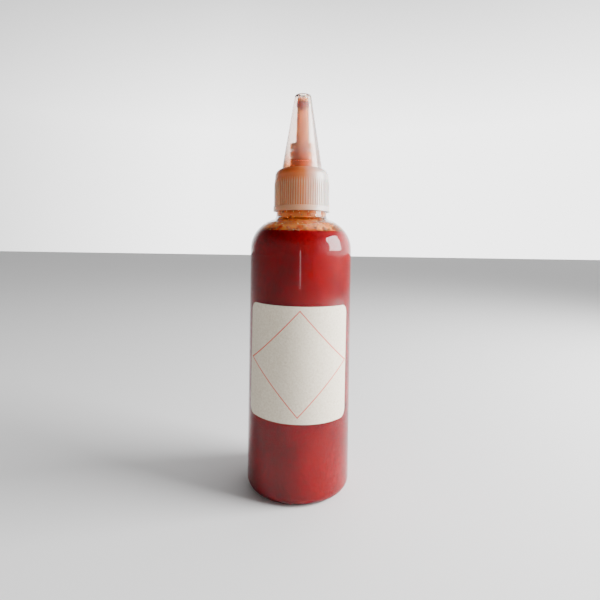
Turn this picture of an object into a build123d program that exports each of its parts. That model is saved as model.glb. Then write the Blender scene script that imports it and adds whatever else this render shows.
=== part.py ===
"""A 100 ml squeeze bottle of hot sauce with a twist-open nozzle.

Millimetres, +Z up. The origin is the centre of the ring that the bottle stands on, and the
label faces -Y. Each piece is one solid, written to its own file in parts/: the clear bottle,
the sauce in it, the ribbed collar screwed on the neck, the twist tip that sits on the
collar's spout, and the paper label.
"""

from build123d import *
from math import asin, cos, degrees, radians, sin, sqrt
import os

# ---- Bottle: blown PET -------------------------------------------------------------
body_radius = 20.0          # outside of the straight wall
body_wall = 0.6
foot_rounding = 2.8         # outside edge between the wall and the foot
stand_ring_width = 2.6      # flat ring that touches the table
push_up_height = 2.2        # how far the middle of the base is domed inwards
base_wall = 1.0
gate_radius = 1.6           # stub left in the middle of the base by the mould's gate
gate_depth = 0.5
straight_top = 91.5         # where the straight wall ends and the shoulder begins

# ---- Neck: a 20 mm finish with a thread of one and a half turns -----------------------
neck_bore_radius = 7.6
neck_radius = 10.0          # plain neck between the shoulder and the thread
neck_fillet = 1.6           # between the shoulder and the neck, outside
bore_fillet = 0.8           # between the shoulder and the bore, inside
lip_rounding = 0.3
bare_neck = 2.85            # neck that shows between the shoulder and the collar
plain_neck = 1.0            # neck that the collar's band covers, below the thread
finish_height = 14.5        # from the plain neck to the lip
thread_root_radius = 9.1
thread_crest_radius = 9.85
thread_pitch = 3.175
thread_turns = 1.5
thread_root_width = 1.8
thread_crest_width = 0.9
thread_below_lip = 1.6      # from the lip to the top of the thread

# ---- Sauce ----------------------------------------------------------------------------
fill_above_straight = 7.1   # the sauce's surface, above the start of the shoulder

# ---- Collar: moulded polypropylene ------------------------------------------------------
band_radius = 11.3          # plain band at the foot of the skirt
band_height = 2.1
band_chamfer = 0.3
skirt_radius = 10.75        # bottom of the grooves between the ribs
skirt_rounding = 3.2        # between the skirt and the flat top
rib_depth = 0.3
rib_count = 72
rib_share = 0.5             # of each rib's pitch that is rib, the rest is groove
rib_draft = 0.4             # how much the upper end of a rib leans in
rib_lean_height = 3.4       # length of that upper end
rib_top_below = 3.2         # from the collar's top to the end of the ribs
top_wall = 1.6
thread_clearance = 0.15     # between the collar and the neck's thread and walls
thread_play = 0.3           # between the flanks of the two threads
cavity_taper = 0.9          # how the collar's hollow narrows above the thread
plug_wall = 0.8             # ring that seals inside the neck's bore
plug_depth = 2.4
plug_clearance = 0.05
spout_radius = 3.1          # tube that carries the twist tip
spout_bore_radius = 2.1
spout_height = 9.6
snap_ring_height = 0.8
snap_ring_depth = 0.25
snap_ring_levels = (3.5, 6.2)   # above the collar's top

# ---- Twist tip: moulded polypropylene ---------------------------------------------------
tip_base_radius = 8.05
tip_height = 29.6
tip_end_radius = 3.25
tip_end_rounding = 0.6
tip_clearance = 0.1         # over the spout and its snap rings
outlet_foot_radius = 1.7    # bore above the spout
outlet_radius = 1.4

# ---- Label: a paper sticker ---------------------------------------------------------------
label_width = 43.0          # round the bottle
label_height = 41.8
label_corner = 3.0
label_thickness = 0.12
label_middle_height = 50.6
label_middle_angle = -2.3   # degrees from -Y, towards +X
label_tilt = 0.7            # degrees clockwise, seen from the front

# ---- Places worked out from the sizes ------------------------------------------------------
shoulder_radius = body_radius - neck_bore_radius
shoulder_foot = sqrt(shoulder_radius**2 - (neck_radius - neck_bore_radius) ** 2)
neck_foot_z = straight_top + shoulder_foot
collar_bottom_z = neck_foot_z + bare_neck
thread_floor_z = collar_bottom_z + plain_neck
lip_z = thread_floor_z + finish_height
collar_top_z = lip_z + top_wall
spout_top_z = collar_top_z + spout_height
tip_top_z = collar_top_z + tip_height
fill_z = straight_top + fill_above_straight
thread_top_z = lip_z - thread_below_lip
stand_ring_outer = body_radius - foot_rounding
stand_ring_inner = stand_ring_outer - stand_ring_width
cavity_radius = max(neck_radius, thread_crest_radius) + thread_clearance

whole_turn = 360


def profile(*edges):
    """The flat face inside these edges, which lie in the XZ plane and form one loop."""
    return make_face(Wire.combine(edges)[0])


def at(radius, height):
    """A point of a profile, in the half plane X > 0, Y = 0."""
    return Vector(radius, 0, height)


def path(*points):
    """Straight edges through these points, closed back to the first."""
    return Polyline(*points, close=True)


def spun(face):
    """The solid that this profile sweeps round the Z axis."""
    return revolve(face, Axis.Z, whole_turn)


def dome_arc(end_radius, end_z, rise):
    """The arc of a shallow dome: crown on the axis, rise above its end."""
    sphere = (end_radius**2 + rise**2) / (2 * rise)
    half_way = asin(end_radius / sphere) / 2
    crown_z = end_z + rise
    middle = at(sphere * sin(half_way), crown_z - sphere * (1 - cos(half_way)))
    return ThreePointArc(at(0, crown_z), middle, at(end_radius, end_z))


def quarter_arc(centre_radius, centre_z, size, start, end):
    """An arc about a centre between two angles, in degrees above the horizontal."""
    points = [
        at(centre_radius + size * cos(radians(a)), centre_z + size * sin(radians(a)))
        for a in (start, (start + end) / 2, end)
    ]
    return ThreePointArc(*points)


def rounded_at(face, places, size):
    """A face with its corners at these places rounded."""
    corners = [
        v for v in face.vertices() if any((Vector(v) - p).length < 1e-4 for p in places)
    ]
    return fillet(corners, size)


def bottle_outside():
    """Profile of the space inside the bottle's outer skin, without the thread."""
    neck_angle = degrees(asin(shoulder_foot / shoulder_radius))
    neck_corner = at(neck_radius, neck_foot_z)
    edges = [
        dome_arc(stand_ring_inner, 0, push_up_height),
        Line(at(stand_ring_inner, 0), at(stand_ring_outer, 0)),
        quarter_arc(stand_ring_outer, foot_rounding, foot_rounding, -90, 0),
        Line(at(body_radius, foot_rounding), at(body_radius, straight_top)),
        quarter_arc(neck_bore_radius, straight_top, shoulder_radius, 0, neck_angle),
        Line(neck_corner, at(neck_radius, thread_floor_z)),
        Line(at(neck_radius, thread_floor_z), at(thread_root_radius, thread_floor_z)),
        Line(at(thread_root_radius, thread_floor_z), at(thread_root_radius, lip_z)),
        Line(at(thread_root_radius, lip_z), at(0, lip_z)),
        Line(at(0, lip_z), at(0, push_up_height)),
    ]
    face = rounded_at(profile(*edges), [neck_corner], neck_fillet)
    return rounded_at(face, [at(thread_root_radius, lip_z)], lip_rounding)


def bottle_inside():
    """Profile of the bottle's hollow, from the base to the lip."""
    inner_radius = body_radius - body_wall
    inner_rounding = foot_rounding - body_wall
    floor_z = foot_rounding - inner_rounding + base_wall - body_wall
    inner_shoulder = shoulder_radius - body_wall
    crown_z = straight_top + inner_shoulder
    bore_corner = at(neck_bore_radius, crown_z)
    flat_end = inner_radius - inner_rounding
    edges = [
        dome_arc(stand_ring_inner, floor_z, push_up_height),
        Line(at(stand_ring_inner, floor_z), at(flat_end, floor_z)),
        quarter_arc(flat_end, floor_z + inner_rounding, inner_rounding, -90, 0),
        Line(at(inner_radius, floor_z + inner_rounding), at(inner_radius, straight_top)),
        quarter_arc(neck_bore_radius, straight_top, inner_shoulder, 0, 90),
        Line(bore_corner, at(neck_bore_radius, lip_z)),
        Line(at(neck_bore_radius, lip_z), at(0, lip_z)),
        Line(at(0, lip_z), at(0, floor_z + push_up_height)),
    ]
    return rounded_at(profile(*edges), [bore_corner], bore_fillet)


def thread(root_radius, crest_radius, top_z, root_width, crest_width):
    """A helical ridge of the bottle's pitch and turns, from a wall to its crest."""
    height = thread_pitch * thread_turns
    start = at(root_radius, 0)
    helix = Helix(thread_pitch, height, root_radius)
    sunk = 0.1 if crest_radius > root_radius else -0.1
    section = path(
        start + at(-sunk, -root_width / 2),
        start + at(-sunk, root_width / 2),
        start + at(crest_radius - root_radius, crest_width / 2),
        start + at(crest_radius - root_radius, -crest_width / 2),
    )
    ridge = sweep(make_face(section), path=helix, is_frenet=True)
    return Pos(0, 0, top_z - height - root_width / 2) * ridge


def ring(inner_radius, outer_radius, low_z, high_z):
    """A plain ring about the Z axis."""
    section = path(
        at(inner_radius, low_z),
        at(outer_radius, low_z),
        at(outer_radius, high_z),
        at(inner_radius, high_z),
    )
    return spun(make_face(section))


def bottle():
    shell = spun(bottle_outside() - bottle_inside())
    shell += thread(
        thread_root_radius,
        thread_crest_radius,
        thread_top_z,
        thread_root_width,
        thread_crest_width,
    )
    gate_floor_z = push_up_height - gate_depth
    gate_top_z = push_up_height + base_wall / 2
    return shell + ring(0, gate_radius, gate_floor_z, gate_top_z)


def sauce():
    below = Pos(body_radius, 0, fill_z / 2) * Rot(90, 0, 0) * Rectangle(2 * body_radius, fill_z)
    return spun(bottle_inside() & below)


def collar_shell():
    """Skirt, flat top, neck plug and spout of the collar, without ribs and thread."""
    cavity_top_radius = cavity_radius - cavity_taper
    plug_radius = neck_bore_radius - plug_clearance
    plug_inner_radius = plug_radius - plug_wall
    outline = path(
        at(cavity_radius, collar_bottom_z),
        at(band_radius, collar_bottom_z),
        at(band_radius, collar_bottom_z + band_height),
        at(skirt_radius, collar_bottom_z + band_height),
        at(skirt_radius, collar_top_z),
        at(spout_radius, collar_top_z),
        at(spout_radius, spout_top_z),
        at(spout_bore_radius, spout_top_z),
        at(spout_bore_radius, lip_z),
        at(plug_inner_radius, lip_z),
        at(plug_inner_radius, lip_z - plug_depth),
        at(plug_radius, lip_z - plug_depth),
        at(plug_radius, lip_z),
        at(cavity_top_radius, lip_z),
        at(cavity_top_radius, thread_top_z + cavity_taper),
        at(cavity_radius, thread_top_z),
    )
    face = rounded_at(make_face(outline), [at(skirt_radius, collar_top_z)], skirt_rounding)
    band_edges = [
        at(band_radius, collar_bottom_z),
        at(band_radius, collar_bottom_z + band_height),
    ]
    return spun(rounded_at(face, band_edges, band_chamfer))


def rib():
    """One rib of the collar's skirt, centred on +X and sunk a little into the skirt."""
    low_z = collar_bottom_z + band_height - band_chamfer
    high_z = collar_top_z - rib_top_below
    sunk_radius = skirt_radius - rib_depth
    crest_radius = skirt_radius + rib_depth
    section = path(
        at(sunk_radius, low_z),
        at(crest_radius, low_z),
        at(crest_radius, high_z - rib_lean_height),
        at(crest_radius - rib_draft, high_z),
        at(sunk_radius, high_z),
    )
    rib_angle = whole_turn / rib_count * rib_share
    wedge = revolve(make_face(section), Axis.Z, rib_angle)
    return Rot(0, 0, -rib_angle / 2) * wedge


def collar():
    body = collar_shell()
    for level in snap_ring_levels:
        low_z = collar_top_z + level
        outer_radius = spout_radius + snap_ring_depth
        body += ring(spout_bore_radius, outer_radius, low_z, low_z + snap_ring_height)
    body += thread(
        cavity_radius,
        thread_root_radius + thread_clearance,
        thread_top_z - thread_pitch / 2,
        thread_pitch - thread_crest_width - 2 * thread_play,
        thread_pitch - thread_root_width - 2 * thread_play,
    )
    ribs = PolarLocations(0, rib_count) * rib()
    return body + ribs


def tip():
    socket_radius = spout_radius + tip_clearance
    socket_top_z = spout_top_z + tip_clearance
    outline = path(
        at(socket_radius, collar_top_z),
        at(tip_base_radius, collar_top_z),
        at(tip_end_radius, tip_top_z),
        at(outlet_radius, tip_top_z),
        at(outlet_foot_radius, socket_top_z),
        at(socket_radius, socket_top_z),
    )
    face = rounded_at(make_face(outline), [at(tip_end_radius, tip_top_z)], tip_end_rounding)
    body = spun(face)
    for level in snap_ring_levels:
        low_z = collar_top_z + level - tip_clearance
        high_z = collar_top_z + level + snap_ring_height + tip_clearance
        groove_radius = spout_radius + snap_ring_depth + tip_clearance
        body -= ring(spout_bore_radius, groove_radius, low_z, high_z)
    return body


def on_wall(angle):
    """A place on the wall at the label's middle height, X sideways, Z outwards, tilted."""
    turn = radians(angle)
    outward = Vector(sin(turn), -cos(turn), 0)
    sideways = Vector(cos(turn), sin(turn), 0)
    middle = outward * body_radius + Vector(0, 0, label_middle_height)
    place = Plane(origin=middle, x_dir=sideways, z_dir=outward).location
    return place * Rot(0, 0, -label_tilt)


def label():
    """The stretch of a thin ring round the wall that lies between the label's four edges."""
    reach = 4 * body_radius
    half_angle = degrees(label_width / 2 / body_radius)
    frame = ring(body_radius - label_corner, body_radius + label_corner, 0, straight_top)
    frame &= on_wall(label_middle_angle) * Box(reach, label_height, reach)
    frame &= on_wall(label_middle_angle - half_angle) * Box(
        reach, reach, reach, align=(Align.MIN, Align.CENTER, Align.CENTER)
    )
    frame &= on_wall(label_middle_angle + half_angle) * Box(
        reach, reach, reach, align=(Align.MAX, Align.CENTER, Align.CENTER)
    )
    corners = frame.edges().filter_by(lambda edge: edge.length < 3 * label_corner)
    frame = fillet(corners, label_corner)
    return frame & ring(body_radius, body_radius + label_thickness, 0, straight_top)


if __name__ == "__main__":
    os.makedirs("parts", exist_ok=True)
    pieces = {
        "bottle": bottle(),
        "sauce": sauce(),
        "collar": collar(),
        "tip": tip(),
        "label": label(),
    }
    for name, piece in pieces.items():
        export_step(piece, f"parts/{name}.step")
        print(name, len(piece.solids()), round(piece.volume, 1), piece.is_valid)
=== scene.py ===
# %% [markdown]
# # A squeeze bottle of hot sauce
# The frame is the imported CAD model: a clear bottle, the sauce in it, a ribbed collar, a twist
# tip and a paper label. This script gives each of them its real finish and adds what sauce
# leaves behind in use: a film on the neck, bubbles, flakes, and a clot in the nozzle.

# %% Load the frame
import bpy
from math import cos, pi, radians, sin, sqrt
from random import Random
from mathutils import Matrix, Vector


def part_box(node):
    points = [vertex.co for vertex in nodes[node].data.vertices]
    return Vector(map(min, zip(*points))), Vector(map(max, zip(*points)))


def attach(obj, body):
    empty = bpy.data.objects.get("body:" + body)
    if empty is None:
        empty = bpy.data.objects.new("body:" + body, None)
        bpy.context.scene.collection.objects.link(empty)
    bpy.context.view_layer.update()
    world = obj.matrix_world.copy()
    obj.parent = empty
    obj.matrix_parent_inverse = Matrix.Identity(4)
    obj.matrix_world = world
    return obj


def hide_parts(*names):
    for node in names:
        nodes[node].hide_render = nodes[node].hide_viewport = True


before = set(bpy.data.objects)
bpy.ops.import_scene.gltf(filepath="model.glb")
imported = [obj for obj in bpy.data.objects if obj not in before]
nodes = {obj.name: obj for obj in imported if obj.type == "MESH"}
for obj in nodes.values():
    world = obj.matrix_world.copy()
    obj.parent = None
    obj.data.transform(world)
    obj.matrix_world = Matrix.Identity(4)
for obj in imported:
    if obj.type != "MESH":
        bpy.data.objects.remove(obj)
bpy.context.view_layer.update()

MM = 0.001
print("CAD nodes:", sorted(nodes))

# %% [markdown]
# Later sizes come from the frame where it holds them: the box of each node gives the sauce's
# level and radius, the lip, and the ends of the collar, the tip and the label.

# %% Sizes taken from the frame
_, wall_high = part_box("bottle")
_, sauce_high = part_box("sauce")
collar_low, collar_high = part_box("collar")
tip_low, tip_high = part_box("tip")
label_low, label_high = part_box("label")
hollow_radius = sauce_high.x
fill_z = sauce_high.z
lip_z = wall_high.z
spout_top_z = collar_high.z
label_middle_z = (label_low.z + label_high.z) / 2
print("fill height, mm:", round(fill_z / MM, 1))
print("hollow radius, mm:", round(hollow_radius / MM, 1))

# %% [markdown]
# A box can't tell the sizes inside the plastic, so these are typed: the neck's bore and the
# foot of the shoulder's arc, the gaps round the thread and at the lip, and the hollows of the
# tip, whose socket sits over the spout and whose bore narrows towards the outlet.

# %% Sizes inside the plastic
bore_radius = 7.6 * MM
shoulder_foot_z = 91.5 * MM
shoulder_radius = hollow_radius - bore_radius
thread_gap_radius = 10.08 * MM
lip_gap_radius = 9.2 * MM
socket_radius = 3.2 * MM
nozzle_radius = 1.7 * MM
outlet_radius = 1.4 * MM
print("shoulder radius, mm:", round(shoulder_radius / MM, 1))

# %% [markdown]
# Materials are built from nodes. One function turns a colour from the hex code a painter
# would pick into the linear values that Blender works in, and one adds a node.

# %% Two helpers for materials
def linear(hex_code):
    """Linear RGBA of an sRGB hex colour."""
    values = [int(hex_code[i:i + 2], 16) / 255 for i in (1, 3, 5)]
    return [v / 12.92 if v <= 0.04045 else ((v + 0.055) / 1.055) ** 2.4 for v in values] + [1]


def add(owner, kind, inputs=None, **settings):
    """A node in a material or a world; an input is a plain value or another node's output."""
    node = owner.node_tree.nodes.new(kind)
    for name, value in settings.items():
        setattr(node, name, value)
    for name, value in (inputs or {}).items():
        if isinstance(value, bpy.types.NodeSocket):
            owner.node_tree.links.new(value, node.inputs[name])
        else:
            node.inputs[name].default_value = value
    return node


def new_material(name):
    """An empty node material with its output node."""
    material = bpy.data.materials.new(name)
    material.use_nodes = True
    material.node_tree.nodes.clear()
    return material, add(material, "ShaderNodeOutputMaterial")


def finish_with(material, output, shader):
    """Joins the last shader to the output."""
    material.node_tree.links.new(shader, output.inputs["Surface"])
    return material


def dress(piece, material):
    """Gives a piece one material."""
    piece.data.materials.clear()
    piece.data.materials.append(material)

# %% [markdown]
# The bottle is stretch-blown PET: clear, glossy and thin. Handling leaves faint greasy
# smudges on it, which only change the gloss, so they go into the roughness. Real PET has an
# IOR of 1.57. A lower one is used here: it weakens the mirrored floor and keeps the red clean.

# %% Clear PET
def blown_pet():
    """Stretch-blown PET: as clear as glass, with soft smudges from fingers."""
    material, output = new_material("blown clear PET")
    place = add(material, "ShaderNodeTexCoord").outputs["Object"]
    smudge = add(material, "ShaderNodeTexNoise", {"Vector": place, "Scale": 90, "Detail": 3})
    gloss = add(material, "ShaderNodeMapRange", {
        "Value": smudge.outputs["Fac"], "From Min": 0.45, "From Max": 0.75,
        "To Min": 0.02, "To Max": 0.09})
    shader = add(material, "ShaderNodeBsdfPrincipled", {
        "Base Color": linear("#FFFFFF"), "Roughness": gloss.outputs["Result"],
        "IOR": 1.34, "Transmission Weight": 1.0})
    return finish_with(material, output, shader.outputs["BSDF"])


dress(nodes["bottle"], blown_pet())
print("bottle faces:", len(nodes["bottle"].data.polygons))

# %% [markdown]
# The sauce is a smooth chilli purée. Red light goes a few millimetres into it and comes back
# cleaner, so a subsurface shader suits it, and fine pulp shows as slightly darker and lighter
# specks.

# %% Chilli sauce
def chilli_sauce():
    """Smooth ground chilli: deep red, lit from within, with pulp finer than a millimetre."""
    material, output = new_material("ground chilli sauce")
    place = add(material, "ShaderNodeTexCoord").outputs["Object"]
    cloud = add(material, "ShaderNodeTexNoise", {"Vector": place, "Scale": 60, "Detail": 2})
    pulp = add(material, "ShaderNodeTexNoise", {"Vector": place, "Scale": 900, "Detail": 4})
    mixed = add(material, "ShaderNodeMath", {0: cloud.outputs["Fac"], 1: pulp.outputs["Fac"]},
                operation="MULTIPLY")
    colour = add(material, "ShaderNodeValToRGB", {"Fac": mixed.outputs["Value"]})
    colour.color_ramp.elements[0].position = 0.12
    colour.color_ramp.elements[0].color = linear("#72000A")
    colour.color_ramp.elements[1].position = 0.42
    colour.color_ramp.elements[1].color = linear("#A60010")
    shader = add(material, "ShaderNodeBsdfPrincipled", {
        "Base Color": colour.outputs["Color"], "Roughness": 0.35, "IOR": 1.38,
        "Subsurface Weight": 0.5, "Subsurface Radius": (1.0, 0.05, 0.02),
        "Subsurface Scale": 3 * MM, "Specular IOR Level": 0.1})
    return finish_with(material, output, shader.outputs["BSDF"])


sauce_red = chilli_sauce()
print("material:", sauce_red.name)

# %% [markdown]
# Left as it is, the sauce would only touch the wall, and a thin gap of air would show
# between them. A copy of the solid, swollen by a twentieth of a millimetre, reaches just
# into the plastic. The copy's loose triangles are merged first.

# %% The sauce, reaching into the wall
def only(piece):
    """Selects one object and makes it active."""
    bpy.ops.object.select_all(action="DESELECT")
    piece.select_set(True)
    bpy.context.view_layer.objects.active = piece


def edit(piece):
    """Opens a piece in edit mode with all of it selected."""
    only(piece)
    bpy.ops.object.mode_set(mode="EDIT")
    bpy.ops.mesh.select_all(action="SELECT")


only(nodes["sauce"])
bpy.ops.object.duplicate()
sauce = bpy.context.object
sauce.name = "sauce_in_the_bottle"
edit(sauce)
merge_below = 0.001 * MM
swelling = 0.05 * MM
bpy.ops.mesh.remove_doubles(threshold=merge_below)
bpy.ops.transform.shrink_fatten(value=swelling)
bpy.ops.object.mode_set(mode="OBJECT")
bpy.ops.object.shade_smooth_by_angle(angle=radians(35))
dress(sauce, sauce_red)
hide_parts("sauce")
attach(sauce, "root")
print("sauce faces:", len(sauce.data.polygons))

# %% [markdown]
# The collar and the tip are injection-moulded polypropylene without colour: milky, waxy and
# see-through at close range. A rough transmission shader lets the thread and the sauce show
# as soft bands, and a little subsurface gives the milk. Chilli oil stains it orange, most of
# all in the grooves of its ribs and less up the tip; its right side has a painted pale
# highlight.

# %% Natural polypropylene
def natural_polypropylene():
    """Uncoloured moulded PP: cloudy and waxy, stained orange low down where the sauce has lain,
    with a painted highlight making its right side pale.
    """
    groove_radius, rib_radius = 10.72 * MM, 10.98 * MM
    material, output = new_material("moulded natural polypropylene")
    place = add(material, "ShaderNodeTexCoord").outputs["Object"]
    axes = add(material, "ShaderNodeSeparateXYZ", {"Vector": place})
    cloud = add(material, "ShaderNodeTexNoise", {"Vector": place, "Scale": 250, "Detail": 3})
    gloss = add(material, "ShaderNodeMapRange", {
        "Value": cloud.outputs["Fac"], "To Min": 0.10, "To Max": 0.20})
    level = add(material, "ShaderNodeVectorMath", {0: place, 1: (1, 1, 0)},
                operation="MULTIPLY")
    radius = add(material, "ShaderNodeVectorMath", {0: level.outputs["Vector"]},
                 operation="LENGTH")
    groove = add(material, "ShaderNodeMapRange", {
        "Value": radius.outputs["Value"], "From Min": groove_radius, "From Max": rib_radius,
        "To Min": 1.0, "To Max": 0.0})
    stain = add(material, "ShaderNodeMix", {
        "Factor": groove.outputs["Result"], "A": linear("#FFC79A"), "B": linear("#F08A48")},
        data_type="RGBA")
    # Painted highlight: the right side is painted pale, where the light from the right washes
    # the plastic out.
    painted_light_on_right = add(material, "ShaderNodeMapRange", {
        "Value": axes.outputs["X"], "From Min": 0.5 * MM, "From Max": 8.5 * MM,
        "To Min": 0.0, "To Max": 0.9})
    height = add(material, "ShaderNodeMapRange", {
        "Value": axes.outputs["Z"], "From Min": tip_low.z, "From Max": tip_low.z + 8 * MM,
        "To Min": 0.0, "To Max": 0.75})
    # Pale where the painted highlight falls on the right, and up the tip where it is unstained.
    unstained_and_painted_light = add(material, "ShaderNodeMath", {
        0: painted_light_on_right.outputs["Result"], 1: height.outputs["Result"]}, operation="MAXIMUM")
    colour = add(material, "ShaderNodeMix", {
        "Factor": unstained_and_painted_light.outputs["Value"], "A": stain.outputs["Result"],
        "B": linear("#FFFAF4")}, data_type="RGBA")
    clear = add(material, "ShaderNodeBsdfPrincipled", {
        "Base Color": colour.outputs["Result"], "Roughness": gloss.outputs["Result"],
        "IOR": 1.49, "Transmission Weight": 1.0})
    milk = add(material, "ShaderNodeBsdfPrincipled", {
        "Base Color": colour.outputs["Result"], "Roughness": 0.3, "IOR": 1.49,
        "Subsurface Weight": 0.7, "Subsurface Radius": (1.0, 0.6, 0.4),
        "Subsurface Scale": 1 * MM})
    share = add(material, "ShaderNodeMapRange", {
        "Value": axes.outputs["Z"], "From Min": tip_low.z - 1 * MM,
        "From Max": tip_low.z + 2 * MM, "To Min": 0.45, "To Max": 0.16})
    shader = add(material, "ShaderNodeMixShader", {
        "Fac": share.outputs["Result"], 1: clear.outputs["BSDF"], 2: milk.outputs["BSDF"]})
    return finish_with(material, output, shader.outputs["Shader"])


cap_plastic = natural_polypropylene()
for name in ("collar", "tip"):
    dress(nodes[name], cap_plastic)
    print(name, "faces:", len(nodes[name].data.polygons))

# %% [markdown]
# The label is an uncoated paper sticker, cream with fibres and a slight mottle. Its only
# printed ornament is a thin red diamond line, whose sides look straight from the front. It is
# drawn where the sideways and upward distances from its middle, each as a share of the
# diamond's half size, add up to one.

# %% Printed paper
def label_paper():
    """Uncoated cream paper with one thin printed diamond line."""
    left_shift, drop, lean = 0.25 * MM, 0.4 * MM, radians(0.7)
    half_width, half_height, half_line = 17.2 * MM, 18.9 * MM, 0.014
    material, output = new_material("uncoated label paper")
    place = add(material, "ShaderNodeTexCoord").outputs["Object"]
    axes = add(material, "ShaderNodeSeparateXYZ", {"Vector": place})
    sideways = add(material, "ShaderNodeMath",
                   {0: axes.outputs["X"], 1: left_shift}, operation="ADD")
    upwards = add(material, "ShaderNodeMath",
                  {0: axes.outputs["Z"], 1: label_middle_z + drop}, operation="SUBTRACT")
    flat = add(material, "ShaderNodeCombineXYZ",
               {"X": sideways.outputs["Value"], "Y": upwards.outputs["Value"]})
    level = add(material, "ShaderNodeVectorRotate",
                {"Vector": flat.outputs["Vector"], "Angle": lean},
                rotation_type="Z_AXIS")
    shares = add(material, "ShaderNodeVectorMath",
                 {0: level.outputs["Vector"], 1: (half_width, half_height, 1)},
                 operation="DIVIDE")
    sizes = add(material, "ShaderNodeVectorMath", {0: shares.outputs["Vector"]},
                operation="ABSOLUTE")
    total = add(material, "ShaderNodeVectorMath",
                {0: sizes.outputs["Vector"], 1: (1, 1, 0)}, operation="DOT_PRODUCT")
    line = add(material, "ShaderNodeMath",
               {0: total.outputs["Value"], 1: 1.0, 2: half_line}, operation="COMPARE")
    fibre = add(material, "ShaderNodeTexNoise", {"Vector": place, "Scale": 1500, "Detail": 4})
    paper = add(material, "ShaderNodeValToRGB", {"Fac": fibre.outputs["Fac"]})
    paper.color_ramp.elements[0].position = 0.3
    paper.color_ramp.elements[0].color = linear("#D9CCB4")
    paper.color_ramp.elements[1].position = 0.7
    paper.color_ramp.elements[1].color = linear("#EDE3CF")
    print_on = add(material, "ShaderNodeMix", {
        "Factor": line.outputs["Value"], "A": paper.outputs["Color"],
        "B": linear("#D8503F")}, data_type="RGBA")
    bump = add(material, "ShaderNodeBump", {
        "Height": fibre.outputs["Fac"], "Strength": 0.15, "Distance": 0.03 * MM})
    shader = add(material, "ShaderNodeBsdfPrincipled", {
        "Base Color": print_on.outputs["Result"], "Roughness": 0.7,
        "Normal": bump.outputs["Normal"]})
    return finish_with(material, output, shader.outputs["BSDF"])


dress(nodes["label"], label_paper())
print("label's middle, mm:", round(label_middle_z / MM, 1))

# %% [markdown]
# A film of sauce clings to the neck and the shoulder above the sauce, and to the bore of the
# nozzle. It is thin where it has run down and thick in streaks. An open turned shell, a hair
# inside the plastic, carries it: a circle is extruded ring by ring and scaled to each radius.

# %% A way to turn shells
def turned(name, rings, around=96):
    """An open shell from rings of (radius, height), lowest first."""
    radius, height = rings[0]
    bpy.ops.object.select_all(action="DESELECT")
    bpy.ops.mesh.primitive_circle_add(vertices=around, radius=radius, location=(0, 0, height))
    piece = bpy.context.object
    piece.name = name
    bpy.ops.object.transform_apply()
    edit(piece)
    for next_radius, next_height in rings[1:]:
        bpy.ops.mesh.extrude_region_move(
            TRANSFORM_OT_translate={"value": (0, 0, next_height - height)})
        share = next_radius / radius
        bpy.ops.transform.resize(value=(share, share, 1), center_override=(0, 0, next_height))
        radius, height = next_radius, next_height
    bpy.ops.mesh.select_all(action="SELECT")
    bpy.ops.mesh.normals_make_consistent(inside=False)
    bpy.ops.object.mode_set(mode="OBJECT")
    bpy.ops.object.shade_smooth()
    return piece


def inner_wall(height, gap):
    """Radius of the hollow at a height on the shoulder or in the neck, less a gap."""
    rise = min(height - shoulder_foot_z, shoulder_radius)
    return bore_radius + sqrt(shoulder_radius**2 - rise**2) - gap

# %% Film of sauce
def sauce_film(name, thin, thick, cover):
    """A runny orange film, red in its streaks, and faded on the right side as painted light."""
    material, output = new_material(name)
    place = add(material, "ShaderNodeTexCoord").outputs["Object"]
    runs = add(material, "ShaderNodeMapping", {"Vector": place, "Scale": (1, 1, 0.45)})
    streak = add(material, "ShaderNodeTexNoise", {
        "Vector": runs.outputs["Vector"], "Scale": 520, "Detail": 5, "Roughness": 0.65})
    colour = add(material, "ShaderNodeValToRGB", {"Fac": streak.outputs["Fac"]})
    colour.color_ramp.elements[0].position = 0.40
    colour.color_ramp.elements[0].color = linear(thin)
    colour.color_ramp.elements[1].position = 0.68
    colour.color_ramp.elements[1].color = linear(thick)
    axes = add(material, "ShaderNodeSeparateXYZ", {"Vector": place})
    # Painted light: the film fades towards the right side, where the light from the right
    # washes it out.
    painted_light_on_right = add(material, "ShaderNodeMapRange", {
        "Value": axes.outputs["X"], "From Min": 0.0, "From Max": 10 * MM,
        "To Min": cover, "To Max": cover * 0.4})
    patchy = add(material, "ShaderNodeMapRange", {
        "Value": streak.outputs["Fac"], "From Min": 0.35, "From Max": 0.6,
        "To Min": 0.6, "To Max": 1.0})
    opacity = add(material, "ShaderNodeMath", {
        0: painted_light_on_right.outputs["Result"], 1: patchy.outputs["Result"]}, operation="MULTIPLY")
    tint = add(material, "ShaderNodeBsdfTransparent", {"Color": linear("#FFD2A0")})
    skin = add(material, "ShaderNodeBsdfPrincipled", {
        "Base Color": colour.outputs["Color"], "Roughness": 0.25, "IOR": 1.36})
    glow = add(material, "ShaderNodeBsdfTranslucent", {"Color": colour.outputs["Color"]})
    body = add(material, "ShaderNodeMixShader", {
        "Fac": 0.55, 1: skin.outputs["BSDF"], 2: glow.outputs["BSDF"]})
    shader = add(material, "ShaderNodeMixShader", {
        "Fac": opacity.outputs["Value"], 1: tint.outputs["BSDF"], 2: body.outputs["Shader"]})
    return finish_with(material, output, shader.outputs["Shader"])


def finish_piece(piece, material):
    """Material and body of a piece that stays with the bottle."""
    dress(piece, material)
    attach(piece, "root")

# %% Film in the shoulder and the neck
into_wall = 0.03 * MM
neck_film = sauce_film("runny film of sauce", "#FB9A3C", "#D42A08", 0.9)
film_top_z = lip_z - 2.6 * MM
bands = 22
heights = [fill_z + (film_top_z - fill_z) * i / bands for i in range(bands + 1)]
shoulder_film = turned("film_in_the_shoulder_and_neck",
                       [(inner_wall(z, -into_wall), z) for z in heights])
finish_piece(shoulder_film, neck_film)
print("rings in the shoulder and the neck:", len(heights))

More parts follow.
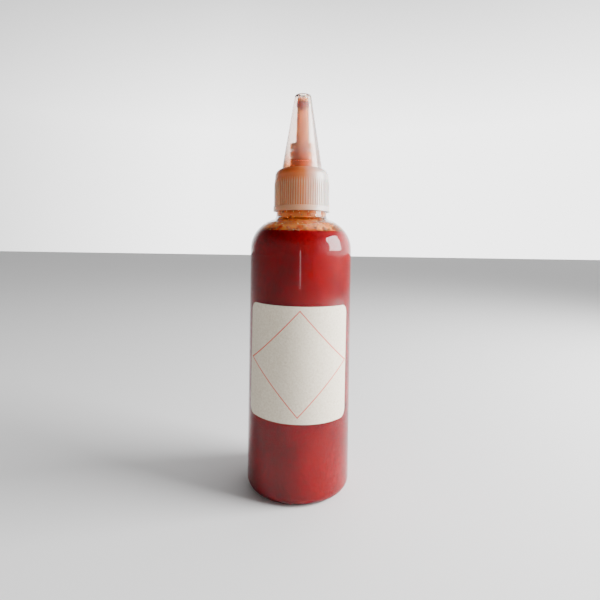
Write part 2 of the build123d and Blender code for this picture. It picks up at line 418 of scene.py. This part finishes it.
# %% Film under the collar
thread_film = turned("film_under_the_collar", [
    (thread_gap_radius, collar_low.z + 1.1 * MM), (thread_gap_radius, lip_z - 1.8 * MM),
    (lip_gap_radius, lip_z - 0.9 * MM), (lip_gap_radius, lip_z)])
finish_piece(thread_film, neck_film)
print("film under the collar, faces:", len(thread_film.data.polygons))

# %% Film in the tip
tip_film = sauce_film("thin film of sauce", "#FBA55E", "#F0662A", 0.6)
clearance = 0.1 * MM
socket_end_z = spout_top_z + clearance + into_wall
film_end_z = tip_high.z - 1.5 * MM
film_rings = [
    (socket_radius + into_wall, tip_low.z + clearance),
    (socket_radius + into_wall, socket_end_z),
    (nozzle_radius + into_wall, socket_end_z),
    (outlet_radius + into_wall, film_end_z)]
finish_piece(turned("film_in_the_tip", film_rings, 48), tip_film)
print("film in the tip ends at, mm:", round(film_end_z / MM, 1))

# %% [markdown]
# The last drop has drawn back into the outlet and thickened there to a red clot, narrower at
# its lower end. It is turned from a circle too. One fill joins its two end loops to each
# other, so it is a closed ring with a tapered hole, which only shows from its ends.

# %% Clot in the outlet
def outlet_radius_at(height):
    """The bore's radius at a height between the spout and the outlet's end."""
    share = (height - spout_top_z) / (tip_high.z - spout_top_z)
    return nozzle_radius - (nozzle_radius - outlet_radius) * share


clot_low = tip_high.z - 6.4 * MM
clot_high = tip_high.z - 3.0 * MM
clot_bands = 8
clot_rings = []
for i in range(clot_bands + 1):
    share = i / clot_bands
    z = clot_low + (clot_high - clot_low) * share
    fullness = 0.4 + 0.72 * sin(pi * min(share * 0.9 + 0.1, 0.5))
    clot_rings.append((outlet_radius_at(z) * fullness, z))
clot = turned("clot_of_sauce", clot_rings, 32)
edit(clot)
bpy.ops.mesh.select_all(action="DESELECT")
bpy.ops.mesh.select_non_manifold()
bpy.ops.mesh.fill()
bpy.ops.object.mode_set(mode="OBJECT")
finish_piece(clot, sauce_red)
print("clot's height, mm:", round((clot_high - clot_low) / MM, 1))

# %% [markdown]
# The rim of the nozzle is wiped by the thumb, and what stays dries to a thin dark line round
# the edge. It is a slim plain ring, mostly sunk into the plastic.

# %% Dried line on the rim
def dried_sauce():
    """Sauce dried to a dark crust, matt and slightly broken."""
    material, output = new_material("dried sauce")
    place = add(material, "ShaderNodeTexCoord").outputs["Object"]
    crust = add(material, "ShaderNodeTexNoise", {"Vector": place, "Scale": 900, "Detail": 3})
    colour = add(material, "ShaderNodeValToRGB", {"Fac": crust.outputs["Fac"]})
    colour.color_ramp.elements[0].position = 0.35
    colour.color_ramp.elements[0].color = linear("#2A2224")
    colour.color_ramp.elements[1].position = 0.7
    colour.color_ramp.elements[1].color = linear("#5B4A48")
    shader = add(material, "ShaderNodeBsdfPrincipled", {
        "Base Color": colour.outputs["Color"], "Roughness": 0.6})
    return finish_with(material, output, shader.outputs["BSDF"])


rim_radius = 2.95 * MM
line_radius = 0.16 * MM
line_depth = 0.12 * MM
bpy.ops.object.select_all(action="DESELECT")
bpy.ops.mesh.primitive_torus_add(
    major_radius=rim_radius, minor_radius=line_radius, major_segments=64, minor_segments=8,
    location=(0, 0, tip_high.z - line_depth))
rim_line = bpy.context.object
rim_line.name = "dried_line_on_the_rim"
bpy.ops.object.transform_apply()
bpy.ops.object.shade_smooth()
dried = dried_sauce()
finish_piece(rim_line, dried)
print("rim line faces:", len(rim_line.data.polygons))

# %% [markdown]
# At the sauce's surface, bubbles and flakes gather against the wall, and others stick to the
# shoulder. One rounded grain of each kind is modelled, then copied to random places on the
# inner wall and squeezed to the shape of its kind. The random numbers start from a fixed
# seed, so each run gives the same.

# %% A way to scatter grains
chance = Random(11)


def scattered(name, size, count, low_z, high_z, shape, spread):
    """Copies of one small rounded body on the inner wall, joined to one piece."""
    bpy.ops.object.select_all(action="DESELECT")
    bpy.ops.mesh.primitive_ico_sphere_add(subdivisions=2, radius=size)
    model = bpy.context.object
    copies = []
    for _ in range(count):
        z = low_z + (high_z - low_z) * chance.random() ** spread
        turn = chance.uniform(0, 2 * pi)
        share = chance.uniform(0.5, 1.3)
        reach = inner_wall(z, 0.25 * size * share)
        only(model)
        bpy.ops.object.duplicate()
        grain = bpy.context.object
        grain.location = (reach * cos(turn), reach * sin(turn), z)
        grain.rotation_euler = (chance.uniform(0, pi), chance.uniform(0, pi), turn)
        grain.scale = [share * squeeze for squeeze in shape]
        copies.append(grain)
    only(model)
    bpy.ops.object.delete()
    for grain in copies:
        grain.select_set(True)
    bpy.context.view_layer.objects.active = copies[0]
    bpy.ops.object.transform_apply()
    bpy.ops.object.join()
    piece = bpy.context.object
    piece.name = name
    bpy.ops.object.shade_smooth()
    print(name, count, "copies,", len(piece.data.polygons), "faces")
    return piece

# %% Skins of the grains
def bubble_skin():
    """A bubble's wall: thin, clear and orange from the sauce it is made of."""
    material, output = new_material("bubble of sauce")
    shader = add(material, "ShaderNodeBsdfPrincipled", {
        "Base Color": linear("#FFC48A"), "Roughness": 0.05, "IOR": 1.33,
        "Transmission Weight": 0.8})
    return finish_with(material, output, shader.outputs["BSDF"])


def chilli_seed():
    """A pale straw-coloured seed, dull and dry at its edge."""
    material, output = new_material("chilli seed")
    shader = add(material, "ShaderNodeBsdfPrincipled", {
        "Base Color": linear("#F2C879"), "Roughness": 0.4})
    return finish_with(material, output, shader.outputs["BSDF"])


# %% Bubbles, flakes and seeds
foam_top_z = fill_z + 1.1 * MM
speck_top_z = lip_z - 14 * MM
foam = scattered("bubbles_at_the_surface", size=0.55 * MM, count=150, low_z=fill_z,
                 high_z=foam_top_z, shape=(1, 1, 1), spread=1.6)
finish_piece(foam, bubble_skin())
flakes = scattered("flakes_of_chilli_skin", size=0.5 * MM, count=120, low_z=fill_z,
                   high_z=speck_top_z, shape=(1, 0.7, 0.35), spread=1.5)
finish_piece(flakes, dried)
seeds = scattered("seeds_and_pulp", size=0.5 * MM, count=90, low_z=fill_z,
                  high_z=speck_top_z, shape=(1, 0.8, 0.3), spread=1.2)
finish_piece(seeds, chilli_seed())

# %% [markdown]
# The bottle stands on a plain pale floor that runs on far behind it. A large soft light
# stands at the right, so the sauce is brighter at its right side than at its left. A narrow
# strip in front leaves one thin streak down the middle of the wall, and the background is
# bright behind the bottle and dim in front, which keeps the red clean.

# %% Floor
bpy.ops.object.select_all(action="DESELECT")
bpy.ops.mesh.primitive_plane_add(size=6)
floor = bpy.context.object
floor.name = "floor"
paint, paint_output = new_material("pale studio floor")
paint_shader = add(paint, "ShaderNodeBsdfPrincipled", {
    "Base Color": linear("#E4E4E4"), "Roughness": 0.8})
dress(floor, finish_with(paint, paint_output, paint_shader.outputs["BSDF"]))
print("floor width, m:", round(floor.dimensions.x, 2))

# %% Lights
def softbox(name, place, width, power, height=None, aim=(0, 0, 0.08)):
    """An area light that faces a point; it is square unless it has a height of its own."""
    bpy.ops.object.light_add(type="AREA", location=place)
    light = bpy.context.object
    light.name = name
    light.data.size = width
    light.data.energy = power
    if height:
        light.data.shape = "RECTANGLE"
        light.data.size_y = height
    towards = Vector(aim) - light.location
    light.rotation_euler = towards.to_track_quat("-Z", "Y").to_euler()
    print(name, "power, W:", power)


softbox("window_at_the_right", (0.52, -0.06, 0.27), width=0.34, power=13.0)
softbox("light_from_above", (0.25, 0.2, 0.9), width=0.5, power=1.5)
softbox("narrow_strip_in_front", (-0.008, -0.65, 0.060), width=0.035, power=0.07,
        height=0.10, aim=(0, 0, 0.045))

# %% Background
world = bpy.data.worlds.new("white studio")
bpy.context.scene.world = world
world.use_nodes = True
direction = add(world, "ShaderNodeTexCoord").outputs["Generated"]
towards_back = add(world, "ShaderNodeVectorMath", {0: direction, 1: (0.72, 0.69, 0.0)},
                   operation="DOT_PRODUCT")
brightness = add(world, "ShaderNodeMapRange", {
    "Value": towards_back.outputs["Value"], "From Min": -0.2, "From Max": 0.5,
    "To Min": 0.4, "To Max": 4.0})
axes = add(world, "ShaderNodeSeparateXYZ", {"Vector": direction})
near_horizon = add(world, "ShaderNodeMapRange", {
    "Value": axes.outputs["Z"], "From Min": 0.25, "From Max": 0.65,
    "To Min": 1.0, "To Max": 0.08})
strength = add(world, "ShaderNodeMath", {
    0: brightness.outputs["Result"], 1: near_horizon.outputs["Result"]},
    operation="MULTIPLY")
backdrop = world.node_tree.nodes["Background"]
backdrop.inputs["Color"].default_value = (1, 1, 1, 1)
world.node_tree.links.new(strength.outputs["Value"], backdrop.inputs["Strength"])
print("background nodes:", len(world.node_tree.nodes))

# %% [markdown]
# The camera stands close and level, a little over three fifths of the bottle's height up. Its
# slight roll makes the bottle lean, and the shift brings the whole bottle into view.

# %% Camera
bpy.ops.object.camera_add(
    location=(-0.39 * MM, -169.3 * MM, 94.1 * MM),
    rotation=(radians(90), radians(-0.85), 0))
camera = bpy.context.object
camera.data.lens = 25.3
camera.data.shift_y = -0.095
camera.data.clip_start = 0.01
bpy.context.scene.camera = camera
print("lens, mm:", round(camera.data.lens, 1))
